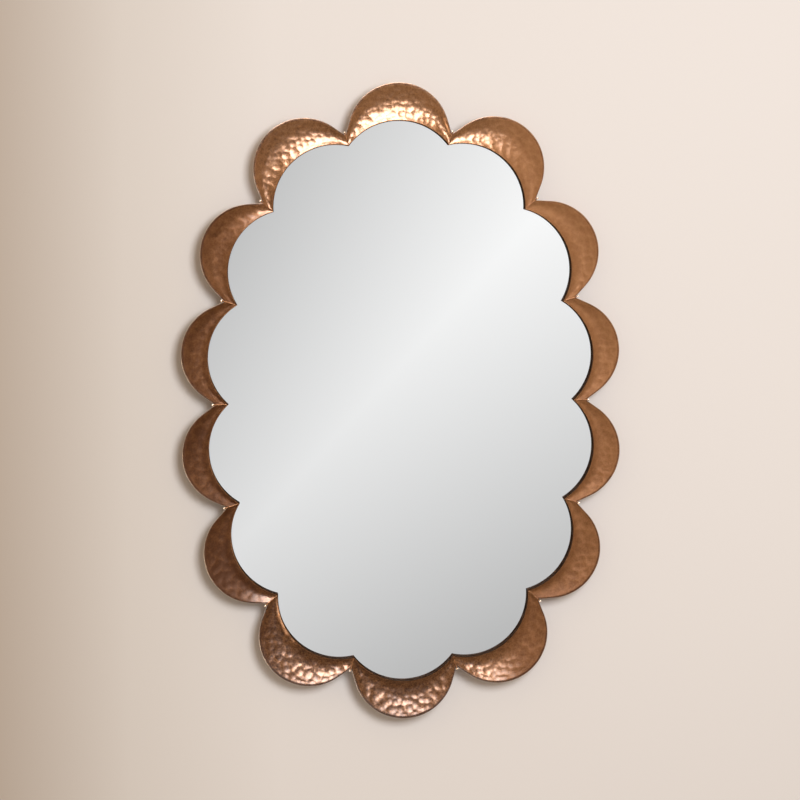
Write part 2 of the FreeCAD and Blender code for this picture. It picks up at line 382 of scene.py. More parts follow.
def outer_point(petal, share):
    """Point of a petal's outer edge: a straight foot, the round lobe and a straight foot."""
    centre = centres[petal]
    before = notch(neighbour(petal, -1)) - centre
    after = notch(petal) - centre
    foot_turn = math.acos(petal_radius / abs(before))
    last_foot_turn = math.acos(petal_radius / abs(after))
    first_touch = unit(before) * cmath.exp(-1j * foot_turn) * petal_radius
    last_touch = unit(after) * cmath.exp(1j * last_foot_turn) * petal_radius
    sweep = cmath.phase(last_touch / first_touch) % (-2 * math.pi)
    first_foot = abs(first_touch - before)
    last_foot = abs(after - last_touch)
    lobe = petal_radius * -sweep
    way = share * (first_foot + lobe + last_foot)
    if way < first_foot:
        return centre + before + (first_touch - before) * (way / first_foot)
    if way > first_foot + lobe:
        return centre + last_touch + (after - last_touch) * ((way - first_foot - lobe) / last_foot)
    return centre + first_touch * cmath.exp(-1j * (way - first_foot) / petal_radius)


def in_space(place, forward):
    """A place in the wall plane, brought forward of the wall."""
    return Vector((place.real, -forward, place.imag))


class Socket:
    """An output socket of a node tree. Arithmetic on it adds Math nodes."""

    def __init__(self, tree, socket):
        self.tree = tree
        self.socket = socket

    def output(self, name):
        return Socket(self.tree, self.socket.node.outputs[name])

    def math(self, operation, *values):
        return self.tree.add("ShaderNodeMath", {"operation": operation}, self, *values)

    def __add__(self, other):
        return self.math("ADD", other)

    def __sub__(self, other):
        return self.math("SUBTRACT", other)

    def __mul__(self, other):
        return self.math("MULTIPLY", other)

    def __truediv__(self, other):
        return self.math("DIVIDE", other)

    def __pow__(self, other):
        return self.math("POWER", other)

    def __neg__(self):
        return self * -1

    def __rsub__(self, other):
        return -self + other

    def __rtruediv__(self, other):
        return self ** -1 * other

    __radd__ = __add__
    __rmul__ = __mul__

    def clamped(self):
        return self.math("MAXIMUM", 0).math("MINIMUM", 1)

    def smooth(self, start, end):
        """0 before start and 1 after end, with a soft step between them."""
        ranges = {"interpolation_type": "SMOOTHSTEP"}
        return self.tree.add("ShaderNodeMapRange", ranges, self, start, end)

    def between(self, first, last):
        """From first where this is 0 to last where it is 1."""
        return self * (last - first) + first


class Tree:
    """A node tree being built."""

    def __init__(self, tree):
        self.tree = tree

    def add(self, kind, settings=None, *values, **named):
        """Adds a node and gives its first output. Settings come first, then its inputs."""
        node = self.tree.nodes.new(kind)
        for name, setting in (settings or {}).items():
            if name == "stops":
                self.set_stops(node.color_ramp, setting)
            else:
                setattr(node, name, setting)
        inputs = [socket for socket in node.inputs if socket.enabled]
        for socket, value in zip(inputs, values):
            self.feed(socket, value)
        for name, value in named.items():
            words = name.replace("_", " ")
            self.feed(next(socket for socket in inputs if socket.name.lower() == words), value)
        outputs = [socket for socket in node.outputs if socket.enabled]
        return Socket(self, outputs[0]) if outputs else None

    def feed(self, socket, value):
        if isinstance(value, Socket):
            self.tree.links.new(value.socket, socket)
        else:
            socket.default_value = value

    def set_stops(self, ramp, stops):
        while len(ramp.elements) < len(stops):
            ramp.elements.new(1)
        for element, (position, tone) in zip(ramp.elements, stops):
            element.position = position
            element.color = tone

    def mix(self, factor, first, second):
        """Colour between two colours."""
        return self.add("ShaderNodeMix", {"data_type": "RGBA"}, factor, first, second)

    def ramp(self, value, *stops):
        return self.add("ShaderNodeValToRGB", {"stops": stops}, value)

    def noise(self, place, scale, detail, roughness):
        return self.add("ShaderNodeTexNoise", None, vector=place, scale=scale, detail=detail,
                        roughness=roughness)

    def voronoi(self, place, scale):
        return self.add("ShaderNodeTexVoronoi", None, vector=place, scale=scale)

    def parts_of(self, vector):
        """The X, Y and Z sockets of a vector."""
        first = self.add("ShaderNodeSeparateXYZ", None, vector)
        return first, first.output("Y"), first.output("Z")

    def vector(self, x, y, z):
        return self.add("ShaderNodeCombineXYZ", None, x, y, z)

    def stretched(self, place, x, y, z):
        return self.add("ShaderNodeVectorMath", {"operation": "MULTIPLY"}, place, (x, y, z))


def colour(red, green, blue):
    return (red, green, blue, 1.0)


def lattice_faces(columns, rows, start):
    """Quads of a lattice whose points run row by row within each column."""
    corner = start + np.arange(columns - 1)[:, None] * rows + np.arange(rows - 1)[None, :]
    return np.stack([corner, corner + rows, corner + rows + 1, corner + 1], axis=-1).reshape(-1, 4)


def shell_faces(columns, rows):
    """Faces of a closed sheet: a front lattice, a back lattice and the band round them."""
    size = columns * rows
    front = lattice_faces(columns, rows, 0)
    back = lattice_faces(columns, rows, size)[:, ::-1]
    down = np.arange(columns) * rows
    border = np.concatenate([down, down[-1] + np.arange(1, rows), down[::-1][1:] + rows - 1,
                             np.arange(rows - 2, 0, -1)])
    after = np.roll(border, -1)
    band = np.stack([border, border + size, after + size, after], axis=-1)
    return np.concatenate([front, back, band])


def mesh_object(name, points, faces, attributes=None):
    mesh = bpy.data.meshes.new(name)
    mesh.from_pydata(points, [], faces)
    for label, values in (attributes or {}).items():
        values = np.asarray(values, dtype=float)
        kind, key = ("FLOAT_VECTOR", "vector") if values.ndim == 2 else ("FLOAT", "value")
        mesh.attributes.new(label, kind, "POINT").data.foreach_set(key, values.ravel())
    made = bpy.data.objects.new(name, mesh)
    bpy.context.scene.collection.objects.link(made)
    return made


def smooth_shaded(made, sharp_angle):
    """Turns the faces of a closed piece outwards and shades it smooth between its sharp edges."""
    shape = bmesh.new()
    shape.from_mesh(made.data)
    bmesh.ops.recalc_face_normals(shape, faces=shape.faces)
    shape.to_mesh(made.data)
    shape.free()
    made.data.shade_smooth()
    made.data.set_sharp_from_angle(angle=math.radians(sharp_angle))
    return made


def geometry_tree(name, sizes):
    """Empty geometry tree with a named input for each size."""
    group = bpy.data.node_groups.new(name, "GeometryNodeTree")
    face = group.interface
    face.new_socket("Geometry", in_out="INPUT", socket_type="NodeSocketGeometry")
    for label, value in sizes.items():
        socket = face.new_socket(label, in_out="INPUT", socket_type="NodeSocketFloat")
        socket.default_value = value
    face.new_socket("Material", in_out="INPUT", socket_type="NodeSocketMaterial")
    face.new_socket("Geometry", in_out="OUTPUT", socket_type="NodeSocketGeometry")
    tree = Tree(group)
    first = tree.add("NodeGroupInput")
    return tree, first


def finish_tree(tree, geometry, material):
    whole = tree.add("GeometryNodeRealizeInstances", None, geometry)
    dressed = tree.add("GeometryNodeSetMaterial", None, geometry=whole, material=material)
    tree.add("NodeGroupOutput", None, dressed)


def grown(base, tree, values):
    """A plain mesh object, from a base object and a geometry tree with these input values."""
    modifier = base.modifiers.new(tree.tree.name, "NODES")
    modifier.node_group = tree.tree
    for item in tree.tree.interface.items_tree:
        if item.in_out == "INPUT" and item.name in values:
            modifier[item.identifier] = values[item.name]
    evaluated = base.evaluated_get(bpy.context.evaluated_depsgraph_get())
    mesh = bpy.data.meshes.new_from_object(evaluated)
    name = base.name
    bpy.data.objects.remove(base)
    made = bpy.data.objects.new(name, mesh)
    mesh.name = name
    bpy.context.scene.collection.objects.link(made)
    return made


def petal_tree():
    """Dishes, hammers and thickens a flat closed lattice in the shape of a petal."""
    sizes = {"Front": petal_front, "Thickness": sheet_thickness, "Rim Width": rim_width,
             "Edge Round": edge_round, "Dish Depth": dish_depth, "Seam Sag": seam_sag,
             "Fullness": dish_fullness, "Low Share": dish_low_share, "Rim Ease": rim_ease,
             "Bottom Low Shift": bottom_low_shift, "Top Low Shift": top_low_shift,
             "Low Shift Reach": low_shift_reach, "Mark Pitch": mark_pitch,
             "Mark Depth": mark_depth, "Mark Tightness": mark_tightness,
             "Mark Blend": mark_blend, "Mark Scatter": mark_scatter, "Mark Fade": mark_fade,
             "Rim Mark Share": rim_mark_share, "Inner Mark Share": inner_mark_share,
             "Seam Mark Share": seam_mark_share, "Side Mark Loss": side_mark_loss,
             "Polish Middle": polish_middle, "Polish From": polish_start,
             "Polish To": polish_end, "Buckle Size": buckle_size,
             "Buckle Depth": buckle_depth, "Edge Wander": edge_wander,
             "Edge Wander Size": edge_wander_size, "Edge Wander From": edge_wander_from,
             "Seed": 0.0}
    tree, first = geometry_tree("hammered_petal", sizes)
    size = {label: first.output(label) for label in sizes}

    def attribute(name):
        return tree.add("GeometryNodeInputNamedAttribute", {"data_type": "FLOAT"}, name)

    across, width, edge = attribute("across"), attribute("width"), attribute("edge")
    seam, layer = attribute("seam"), attribute("layer")
    chord = width - size["Rim Width"]
    x, _, z = tree.parts_of(tree.add("GeometryNodeInputPosition"))
    top_shift = z.smooth(0, size["Low Shift Reach"]) * size["Top Low Shift"]
    bottom_shift = (-z).smooth(0, size["Low Shift Reach"]) * size["Bottom Low Shift"]
    low = chord * (size["Low Share"] + top_shift + bottom_shift)
    fullness = (attribute("share") * math.pi).math("SINE").math("MAXIMUM", 0) ** size["Fullness"]
    sag = size["Seam Sag"] + (size["Dish Depth"] - size["Seam Sag"]) * fullness
    off_low = across - low
    outside = off_low.math("GREATER_THAN", 0)
    reach = low + (chord - low * 2) * outside
    bend = (reach * reach + sag * sag) / (sag * 2)
    on_dish = off_low.math("ABSOLUTE").math("MINIMUM", reach)
    rise = bend - sag
    share_out = on_dish / reach
    eased = 1 - share_out * share_out - ((share_out * math.pi).math("COSINE") + 1) / 2
    eased = eased * outside * sag * size["Rim Ease"]
    front_depth = (bend * bend - on_dish * on_dish).math("SQRT") - rise - eased
    back_bend = bend + size["Thickness"]
    back_root = (back_bend * back_bend - off_low * off_low).math("MAXIMUM", 0).math("SQRT")
    back_depth = (back_root - rise - eased).math("MAXIMUM", size["Thickness"])
    into_round = (size["Edge Round"] - edge).math("MAXIMUM", 0)
    round_root = (size["Edge Round"] ** 2 - into_round * into_round).math("MAXIMUM", 0)
    rounded = (size["Edge Round"] - round_root.math("SQRT")) * into_round.math("GREATER_THAN", 0)

    shifted = tree.vector(x + size["Seed"], z, 0)
    flat = {"voronoi_dimensions": "2D", "feature": "SMOOTH_F1"}
    marks = tree.add("ShaderNodeTexVoronoi", flat, vector=shifted, scale=1 / size["Mark Pitch"],
                     smoothness=size["Mark Blend"], randomness=size["Mark Scatter"])
    hollow = (1 - (marks * size["Mark Tightness"]) ** 2).clamped()
    fade = edge.smooth(size["Rim Width"] / 2, size["Rim Width"] + size["Mark Fade"])
    fade = fade * across.smooth(0, size["Mark Fade"]).between(size["Inner Mark Share"], 1)
    fade = fade * seam.smooth(0, size["Mark Fade"]).between(size["Seam Mark Share"], 1)
    off_middle = (x - size["Polish Middle"]).math("ABSOLUTE")
    sides = off_middle.smooth(size["Polish From"], size["Polish To"])
    kept = fade.between(size["Rim Mark Share"], 1)
    mark = hollow * size["Mark Depth"] * kept * (1 - sides * size["Side Mark Loss"])
    waves = tree.noise(shifted, 1 / size["Buckle Size"], detail=1.0, roughness=0.5)
    buckle = waves * size["Buckle Depth"]
    depth = layer.between(front_depth + rounded, back_depth) + mark + buckle * fade

    drift = tree.noise(shifted, 1 / size["Edge Wander Size"], detail=1.0, roughness=0.5)
    wander = drift * size["Edge Wander"] * (across / width).smooth(size["Edge Wander From"], 1)
    sideways = tree.add("GeometryNodeInputNamedAttribute", {"data_type": "FLOAT_VECTOR"}, "outward")
    inward = tree.add("ShaderNodeVectorMath", {"operation": "SCALE"}, sideways, scale=-wander)
    offset = tree.add("ShaderNodeVectorMath", {"operation": "ADD"}, inward,
                      tree.vector(0, depth - size["Front"], 0))
    moved = tree.add("GeometryNodeSetPosition", None, geometry=first, offset=offset)
    stored = tree.add("GeometryNodeStoreNamedAttribute", {"data_type": "FLOAT", "domain": "POINT"},
                      geometry=moved, name="hollow", value=hollow)
    finish_tree(tree, stored, first.output("Material"))
    return tree


def line_distance(places, start, end):
    """Distance from each place in the wall plane to a straight line."""
    along = unit(end - start)
    return np.abs(((places - start) / along).imag)


def petal_lattice(petal):
    """Flat closed lattice over a petal, with what its tree needs on each point."""
    grow = strip_thickness + braze_gap
    shares = np.linspace(0, 1, sheet_stations)
    inner = np.array([inner_point(petal, share, grow) for share in shares])[:, None]
    outer = np.array([outer_point(petal, share) for share in shares])[:, None]
    width = np.abs(outer - inner)
    along = (outer - inner) / width
    on_dish = np.linspace(0, 1, dish_rows)
    on_rim = 1 - (1 - np.linspace(0, 1, rim_rows)[1:]) ** 2
    across = np.concatenate([(width - rim_width) * on_dish,
                             width - rim_width + rim_width * on_rim], axis=1)
    places = inner + along * across
    before = neighbour(petal, -1)
    seam = np.minimum(line_distance(places, cusp(before, grow), notch(before)),
                      line_distance(places, cusp(petal, grow), notch(petal)))
    columns, rows = places.shape
    direction = np.broadcast_to(along, places.shape)

    def twice(values):
        flat = np.broadcast_to(values, places.shape).ravel()
        return np.concatenate([flat, flat])

    zero = np.zeros(2 * columns * rows)
    points = np.stack([twice(places.real), zero, twice(places.imag)], axis=-1)
    outwards = np.stack([twice(direction.real), zero, twice(direction.imag)], axis=-1)
    layer = np.repeat([0.0, 1.0], columns * rows)
    attributes = {"share": twice(shares[:, None]), "across": twice(across),
                  "width": twice(width), "edge": twice(width - across), "seam": twice(seam),
                  "layer": layer, "outward": outwards}
    return points.tolist(), shell_faces(columns, rows).tolist(), attributes


def add_petals(finish):
    tree = petal_tree()
    for petal in range(petal_count):
        number = "%02d" % (petal + 1)
        points, faces, attributes = petal_lattice(petal)
        base = mesh_object("hammered_petal_" + number, points, faces, attributes)
        lowness = (1 - math.cos(petal / petal_count * 2 * math.pi)) / 2
        growth = 1 + low_mark_growth * lowness
        made = grown(base, tree, {"Seed": float(petal), "Mark Pitch": mark_pitch * growth,
                                  "Mark Depth": mark_depth * growth, "Material": finish})
        smooth_shaded(made, sheet_sharp_angle)
        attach(made, "frame")
        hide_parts("petal_" + number)


def strip_section():
    """Section of a strip: pairs of a distance out from the glass and one forward of the wall."""
    turns = [step / strip_round_steps * math.pi / 2 for step in range(strip_round_steps + 1)]
    near = [(strip_round * (1 - math.cos(turn)), strip_front - strip_round * (1 - math.sin(turn)))
            for turn in turns]
    far = [(strip_thickness - grow, forward) for grow, forward in reversed(near)]
    steps = [strip_back + (glass_front - strip_back) * share for share in (0, 1 / 2, 1)]
    inside = [(0, forward) for forward in steps]
    outside = [(strip_thickness, forward) for forward in reversed(steps)]
    return inside + near + far + outside


def strip_object(petal):
    """One bent strip on edge, its front edge rounded and slightly uneven."""
    section = strip_section()
    points = []
    grown_by = []
    for station in range(strip_stations):
        share = station / (strip_stations - 1)
        for grow, forward in section:
            grown_by.append(grow)
            place = in_space(inner_point(petal, share, grow), forward)
            wander = noise.noise(place / strip_wander_size) * strip_wander
            height = max(0, (forward - glass_front) / (strip_front - glass_front))
            place.y += max(wander, 0) * height
            points.append(place)
    count = len(section)
    faces = []
    for station in range(strip_stations - 1):
        for side in range(count):
            after = (side + 1) % count
            first = station * count
            faces.append((first + after, first + side, first + count + side, first + count + after))
    faces.append(tuple(range(count)))
    faces.append(tuple(reversed(range((strip_stations - 1) * count, strip_stations * count))))
    made = mesh_object("edge_strip_%02d" % (petal + 1), points, faces, {"across": grown_by})
    return smooth_shaded(made, sheet_sharp_angle)


def add_strips(finish):
    for petal in range(petal_count):
        made = strip_object(petal)
        made.data.materials.append(finish)
        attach(made, "frame")
        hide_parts("inner_strip_%02d" % (petal + 1))


def seam_tree():
    """Runs an uneven bead of braze along each curve and sets a drop at its end."""
    sizes = {"Bead Radius": seam_bead_radius, "Bead Step": bead_step, "Lump Size": bead_lump_size,
             "Unevenness": bead_unevenness, "Drop Radius": notch_bead_radius,
             "Drop Unevenness": drop_unevenness, "Drop Sink": sheet_thickness / 2}
    tree, first = geometry_tree("braze_seam", sizes)
    size = {label: first.output(label) for label in sizes}
    place = tree.add("GeometryNodeInputPosition")
    fine = tree.add("GeometryNodeResampleCurve", {"mode": "LENGTH"}, curve=first,
                    length=size["Bead Step"])
    lumps = tree.noise(place, 1 / size["Lump Size"], detail=2.0, roughness=0.5)
    radius = 1 - lumps * size["Unevenness"]
    uneven = tree.add("GeometryNodeSetCurveRadius", None, curve=fine, radius=radius)
    ring = tree.add("GeometryNodeCurvePrimitiveCircle", None, resolution=bead_sides,
                    radius=size["Bead Radius"])
    bead = tree.add("GeometryNodeCurveToMesh", None, curve=uneven, profile_curve=ring,
                    fill_caps=True)
    end = tree.add("GeometryNodeCurveEndpointSelection", None, start_size=0, end_size=1)
    ball = tree.add("GeometryNodeMeshIcoSphere", None, radius=size["Drop Radius"],
                    subdivisions=drop_detail)
    drops = tree.add("GeometryNodeInstanceOnPoints", None, points=fine, selection=end,
                     instance=ball)
    solid = tree.add("GeometryNodeRealizeInstances", None, drops)
    inward = tree.add("ShaderNodeVectorMath", {"operation": "SCALE"},
                      tree.add("GeometryNodeInputNormal"), scale=-lumps * size["Drop Unevenness"])
    sunk = tree.add("ShaderNodeVectorMath", {"operation": "ADD"}, inward,
                    tree.vector(0, size["Drop Sink"], 0))
    lumpy = tree.add("GeometryNodeSetPosition", None, geometry=solid, offset=sunk)
    marked = tree.add("GeometryNodeStoreNamedAttribute", {"data_type": "FLOAT", "domain": "POINT"},
                      geometry=lumpy, name="drop", value=1.0)
    joined = tree.add("GeometryNodeJoinGeometry")
    for part in (bead, marked):
        tree.tree.links.new(part.socket, joined.socket.node.inputs[0])
    finish_tree(tree, joined, first.output("Material"))
    return tree


def seam_ends(petal):
    """Where a seam's bead starts at the strips, and the middle of its drop in the notch."""
    after = neighbour(petal, 1)
    step = 1 / sheet_stations
    inner = cusp(petal, strip_thickness + braze_gap)
    along = unit(notch(petal) - inner)
    feet = (outer_point(petal, 1) - outer_point(petal, 1 - step),
            outer_point(after, 0) - outer_point(after, step))
    angles = [abs(cmath.phase(foot / along)) for foot in feet]
    stand = max((notch_bead_radius + braze_gap) / math.sin(angle) for angle in angles)
    return inner + along * seam_bead_radius, notch(petal) + along * stand


def add_seams(finish):
    paths = bpy.data.curves.new("braze_seams", "CURVE")
    paths.dimensions = "3D"
    for petal in range(petal_count):
        spline = paths.splines.new("POLY")
        spline.points.add(1)
        for point, place in zip(spline.points, seam_ends(petal)):
            point.co = in_space(place, petal_front).to_4d()
    base = bpy.data.objects.new("braze_seams", paths)
    bpy.context.scene.collection.objects.link(base)
    made = grown(base, seam_tree(), {"Material": finish})
    smooth_shaded(made, braze_sharp_angle)
    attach(made, "frame")
    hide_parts("seam_braze")


def new_material(name):
    """An empty material, its tree, its shader's inputs and the place on the piece."""
    made = bpy.data.materials.new(name)
    made.use_nodes = True
    made.node_tree.nodes.clear()
    tree = Tree(made.node_tree)
    place = tree.add("ShaderNodeTexCoord").output("Object")
    return made, tree, place


def attribute_value(tree, name):
    return tree.add("ShaderNodeAttribute", {"attribute_name": name}).output("Fac")


def bump(tree, height, distance, strength):
    return tree.add("ShaderNodeBump", None, strength=strength, distance=distance, height=height)


def finish_material(tree, **shader):
    surface = tree.add("ShaderNodeBsdfPrincipled", None, **shader)
    tree.add("ShaderNodeOutputMaterial", None, surface)


def hammered_copper():
    """Copper sheet with a brown patina, deeper in its hollows, and painted shade that darkens it
    away from the lamp.

    It is lacquered in the middle of the mirror, matt at the sides, and worn at its edge."""
    made, tree, place = new_material("hammered_copper")
    hollow = attribute_value(tree, "hollow")
    edge = attribute_value(tree, "edge")
    seam = attribute_value(tree, "seam")
    clouds = tree.noise(place, scale=16.0, detail=5.0, roughness=0.6)
    mottle = tree.noise(place, scale=140.0, detail=4.0, roughness=0.65)
    specks = tree.noise(place, scale=420.0, detail=3.0, roughness=0.55)
    x, _, z = tree.parts_of(place)
    to_lamp = x * lamp_side[0] + z * lamp_side[1]
    rim = 1 - edge.smooth(*rim_patina_ends)
    matt = (x - polish_middle).math("ABSOLUTE").smooth(polish_start, polish_end)
    # Painted shade: the term along to_lamp darkens the sheet away from the lamp, towards the lower
    # left, on top of its patina.
    patina_and_shade = middle_patina - to_lamp * away_from_lamp_painted_shade
    patina_and_shade = patina_and_shade + (clouds - 0.5) * matt.between(*cloud_patina)
    patina_and_shade = patina_and_shade + (mottle - 0.5) * matt.between(*mottle_patina)
    patina_and_shade = patina_and_shade + (specks - 0.5) * matt.between(*speck_patina)
    patina_and_shade = patina_and_shade + hollow * hollow_patina + rim * rim_patina + matt * matt_patina
    sheet = tree.ramp((patina_and_shade / patina_and_shade_range).clamped(), (0.0, colour(0.4, 0.188, 0.081)),
                      (0.25, colour(0.33, 0.155, 0.066)), (0.45, colour(0.269, 0.121, 0.05)),
                      (0.65, colour(0.195, 0.082, 0.032)), (0.8, colour(0.136, 0.054, 0.0195)),
                      (1.0, colour(0.07, 0.0245, 0.0085)))
    at_seam = (1 - seam.smooth(*seam_wear_ends)) * seam_wear
    worn = (1 - edge.smooth(0, edge_round)).math("MAXIMUM", at_seam)
    worn = worn * (least_wear + mottle * mottle_wear)
    tone = tree.mix(worn.clamped(), sheet, colour(0.90, 0.72, 0.55))
    metallic = matt.between(*sheet_metallic) - x.smooth(*right_side) * right_metallic_loss
    roughness = matt.between(*sheet_roughness) + mottle * mottle_roughness
    roughness = (roughness + hollow * hollow_roughness) * (1 - worn * worn_smoothness)
    relief = mottle * (1 - speck_relief) + specks * speck_relief
    finish_material(tree, base_color=tone, metallic=(metallic + worn * worn_metallic).clamped(),
                    roughness=roughness.clamped(), specular_ior_level=0.3,
                    coat_weight=1 - matt, coat_roughness=0.25,
                    normal=bump(tree, relief, distance=0.0008, strength=0.3))
    return made


def strip_copper():
    """Copper strip with streaky stains, painted shade darkening it down in the recess and on its
    side facing the glass, and worn bright on its front edge.
    """
    made, tree, place = new_material("strip_copper")
    _, y, _ = tree.parts_of(place)
    streaks = tree.noise(tree.stretched(place, 60.0, 600.0, 60.0), scale=1.0, detail=4.0,
                         roughness=0.6)
    mottle = tree.noise(place, scale=220.0, detail=3.0, roughness=0.6)

    def forward_of(depths):
        return (-y).smooth(*[strip_front - depth for depth in depths])

    outer = attribute_value(tree, "across").smooth(strip_thickness * strip_shade_share,
                                                   strip_thickness * strip_rubbed_share)
    front = forward_of(strip_rubbed_depths) * outer
    # deep marks the recess and the side facing the glass, where the near-black colour below is
    # painted shade mixed with the streaky stains.
    deep = (1 - forward_of(strip_shade_depths)).math("MAXIMUM", 1 - outer)
    sheet = tree.ramp(mottle, (0.25, colour(0.40, 0.20, 0.10)), (0.75, colour(0.24, 0.11, 0.055)))
    stains_and_shade = tree.mix((deep * 0.85 + streaks * 0.25).clamped(), sheet,
                       colour(0.022, 0.011, 0.006))
    tone = tree.mix((front * (0.6 + mottle * 0.5)).clamped(), stains_and_shade, colour(0.31, 0.145, 0.065))
    roughness = (0.5 + streaks * 0.22 - front * 0.25).clamped()
    finish_material(tree, base_color=tone, metallic=0.1 + front * 0.7, roughness=roughness,
                    specular_ior_level=0.0,
                    normal=bump(tree, streaks, distance=0.0004, strength=0.4))
    return made


def braze():
    """Bright bronze filler, rubbed on its top and dull where it meets the sheet."""
    made, tree, place = new_material("braze")
    _, y, _ = tree.parts_of(place)
    grain = tree.noise(place, scale=700.0, detail=4.0, roughness=0.6)
    blotches = tree.noise(place, scale=160.0, detail=3.0, roughness=0.6)
    drop = attribute_value(tree, "drop")
    top = (-y).smooth(*braze_rubbed_ends)
    metal = tree.ramp(blotches, (0.3, colour(0.27, 0.125, 0.058)), (0.7, colour(0.18, 0.08, 0.036)))
    rubbed = tree.mix(top * (0.3 + grain * 0.4), metal, colour(0.31, 0.155, 0.075))
    tone = tree.mix(drop, rubbed, colour(0.95, 0.82, 0.68))
    roughness = (0.60 - drop * 0.32 - top * 0.08 + (grain - 0.5) * 0.2).clamped()
    finish_material(tree, base_color=tone, metallic=1.0, roughness=roughness,
                    normal=bump(tree, grain, distance=0.0003, strength=0.5))
    return made


def mirror_glass():
    """Silvered glass: bright in front, green at its edge and painted grey behind."""
    made, tree, place = new_material("mirror_glass")
    _, y, _ = tree.parts_of(place)
    haze = tree.noise(place, scale=9.0, detail=5.0, roughness=0.6)
    near, far = glass_face_band
    front = (-y).smooth(glass_front - far, glass_front - near)
    back = 1 - (-y).smooth(glass_back + near, glass_back + far)
    sides = tree.mix(haze, colour(0.20, 0.34, 0.27), colour(0.28, 0.44, 0.36))
    painted = tree.mix(haze, colour(0.22, 0.24, 0.26), colour(0.28, 0.30, 0.32))
    hidden = tree.mix(back, sides, painted)
    tone = tree.mix(front, hidden, colour(0.93, 0.935, 0.935))
    roughness = 0.012 + (1 - front) * 0.3 + haze * 0.006
    finish_material(tree, base_color=tone, metallic=front, roughness=roughness)
    return made


def backing_board():
    """Brown hardboard: fine fibres, a few darker shives and a faint sheen."""
    made, tree, place = new_material("backing_board")
    fibres = tree.noise(tree.stretched(place, 900.0, 900.0, 500.0), scale=1.0, detail=5.0,
                        roughness=0.7)
    patches = tree.noise(place, scale=14.0, detail=4.0, roughness=0.6)
    cells = tree.voronoi(tree.stretched(place, 260.0, 260.0, 90.0), scale=1.0)
    shives = 1 - cells.smooth(0.06, 0.16)
    tone = tree.ramp((fibres * 0.6 + patches * 0.4).clamped(), (0.3, colour(0.17, 0.095, 0.05)),
                     (0.55, colour(0.27, 0.16, 0.088)), (0.8, colour(0.36, 0.225, 0.13)))
    tone = tree.mix(shives * 0.55, tone, colour(0.10, 0.055, 0.03))
    finish_material(tree, base_color=tone, roughness=0.62 + fibres * 0.2,
                    normal=bump(tree, fibres, distance=0.0004, strength=0.5))
    return made


def foam_tape():
    """White closed-cell foam with a grey tint in its pores."""
    made, tree, place = new_material("foam_tape")
    cells = tree.voronoi(place, scale=2200.0)
    tone = tree.mix(cells.clamped(), colour(0.62, 0.62, 0.60), colour(0.82, 0.82, 0.80))
    finish_material(tree, base_color=tone, roughness=0.9,
                    normal=bump(tree, cells, distance=0.0003, strength=0.6))
    return made


def bracket_copper():
    """Bent copper strip with flux stains round its brazed leg."""
    made, tree, place = new_material("bracket_copper")
    _, y, _ = tree.parts_of(place)
    scratches = tree.noise(tree.stretched(place, 90.0, 90.0, 1400.0), scale=1.0, detail=3.0,
                           roughness=0.6)
    clouds = tree.noise(place, scale=110.0, detail=4.0, roughness=0.6)
    leg = (-y).smooth(*bracket_flux_ends)
    metal = tree.ramp(clouds, (0.3, colour(0.58, 0.30, 0.16)), (0.7, colour(0.36, 0.17, 0.085)))
    tone = tree.mix(leg * (0.3 + clouds * 0.7), metal, colour(0.15, 0.085, 0.06))
    roughness = (0.30 + scratches * 0.25 + leg * 0.15).clamped()
    finish_material(tree, base_color=tone, metallic=1.0, roughness=roughness,
                    normal=bump(tree, scratches, distance=0.0002, strength=0.5))
    return made


def zinc_plate(name, tint, grain_scale):
    """Zinc-plated steel, with a faint spangle, drawing marks along the piece and some grime."""
    made, tree, place = new_material(name)
    spangle, _, _ = tree.parts_of(tree.voronoi(place, scale=700.0).output("Color"))
    drawn = tree.noise(tree.stretched(place, *grain_scale), scale=1.0, detail=3.0, roughness=0.6)
    grime = tree.noise(place, scale=160.0, detail=4.0, roughness=0.6).smooth(0.52, 0.75)
    bright = tree.mix(spangle * 0.35 + drawn * 0.3, tint, colour(0.86, 0.87, 0.88))
    tone = tree.mix(grime * 0.5, bright, colour(0.28, 0.27, 0.25))
    roughness = (0.26 + drawn * 0.18 + grime * 0.2).clamped()
    finish_material(tree, base_color=tone, metallic=1.0, roughness=roughness,
                    normal=bump(tree, drawn, distance=0.0002, strength=0.4))
    return made


def bumper_rubber():
    """Moulded black rubber with a fine matt skin and dust on it."""
    made, tree, place = new_material("bumper_rubber")
    skin = tree.noise(place, scale=2600.0, detail=3.0, roughness=0.6)
    dust = tree.noise(place, scale=320.0, detail=4.0, roughness=0.6).smooth(0.5, 0.8)
    tone = tree.mix(dust * 0.5, colour(0.022, 0.022, 0.023), colour(0.10, 0.095, 0.088))
    finish_material(tree, base_color=tone, roughness=0.66 + dust * 0.2,
                    normal=bump(tree, skin, distance=0.0002, strength=0.5))
    return made


def dress(nodes, finish):
    """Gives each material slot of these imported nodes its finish."""
    for name in nodes:
        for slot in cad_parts[name].material_slots:
            slot.material = finish


